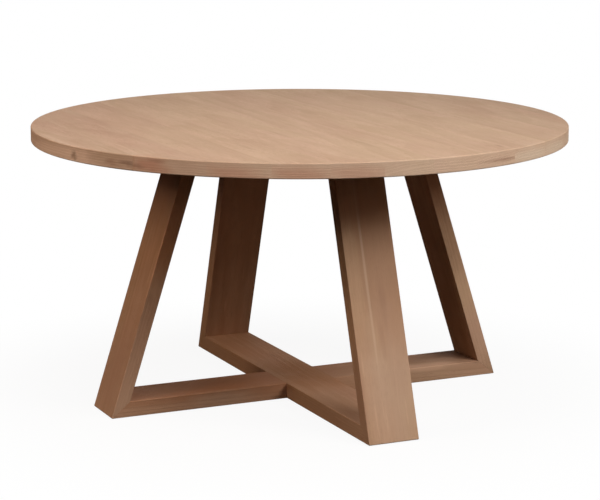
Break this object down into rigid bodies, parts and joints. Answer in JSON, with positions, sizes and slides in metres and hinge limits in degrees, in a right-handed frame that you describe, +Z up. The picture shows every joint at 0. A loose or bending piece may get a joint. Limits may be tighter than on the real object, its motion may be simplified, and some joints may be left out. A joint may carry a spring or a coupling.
{
  "type": "round table",
  "caption": "Thick round wooden top on two closed trapezoid frames of flat boards that cross at right angles, lapped flush at the floor.",
  "frame": {"origin": "on the floor, under the middle of the round top", "axes": "+Z up; X along one base frame and Y along the other; the grain of the top runs along Y"},
  "size_m": [1.468, 1.468, 0.762],
  "materials": {
    "top_wood": "satin, pale tan, long grain",
    "frame_wood": "satin, pale tan brown",
    "inner_wood": "bare, planed",
    "screw_steel": "zinc plated",
    "insert_brass": "turned",
    "glide_felt": "pressed felt"
  },
  "bodies": {
    "root": {"top_board_01": "top_wood", "top_board_02": "top_wood", "top_board_03": "top_wood", "top_board_04": "top_wood", "top_board_05": "top_wood", "top_board_06": "top_wood", "top_board_07": "top_wood", "top_board_08": "top_wood", "top_board_09": "top_wood", "top_board_10": "top_wood", "top_board_11": "top_wood", "top_board_12": "top_wood", "leg_right": "frame_wood", "leg_left": "frame_wood", "leg_back": "frame_wood", "leg_front": "frame_wood", "floor_rail_x": "frame_wood", "floor_rail_y": "frame_wood", "top_rail_x": "frame_wood", "top_rail_y": "frame_wood", "top_spline_01": "inner_wood", "top_spline_02": "inner_wood", "top_spline_03": "inner_wood", "top_spline_04": "inner_wood", "top_spline_05": "inner_wood", "top_spline_06": "inner_wood", "top_spline_07": "inner_wood", "top_spline_08": "inner_wood", "top_spline_09": "inner_wood", "top_spline_10": "inner_wood", "top_spline_11": "inner_wood", "foot_tenon_right": "inner_wood", "foot_tenon_left": "inner_wood", "foot_tenon_back": "inner_wood", "foot_tenon_front": "inner_wood", "head_tenon_right": "inner_wood", "head_tenon_left": "inner_wood", "head_tenon_back": "inner_wood", "head_tenon_front": "inner_wood", "screw_01": "screw_steel", "screw_02": "screw_steel", "screw_03": "screw_steel", "screw_04": "screw_steel", "screw_05": "screw_steel", "screw_06": "screw_steel", "screw_07": "screw_steel", "screw_08": "screw_steel", "insert_01": "insert_brass", "insert_02": "insert_brass", "insert_03": "insert_brass", "insert_04": "insert_brass", "insert_05": "insert_brass", "insert_06": "insert_brass", "insert_07": "insert_brass", "insert_08": "insert_brass", "glide_right": "glide_felt", "glide_left": "glide_felt", "glide_back": "glide_felt", "glide_front": "glide_felt"}
  },
  "joints": []
}
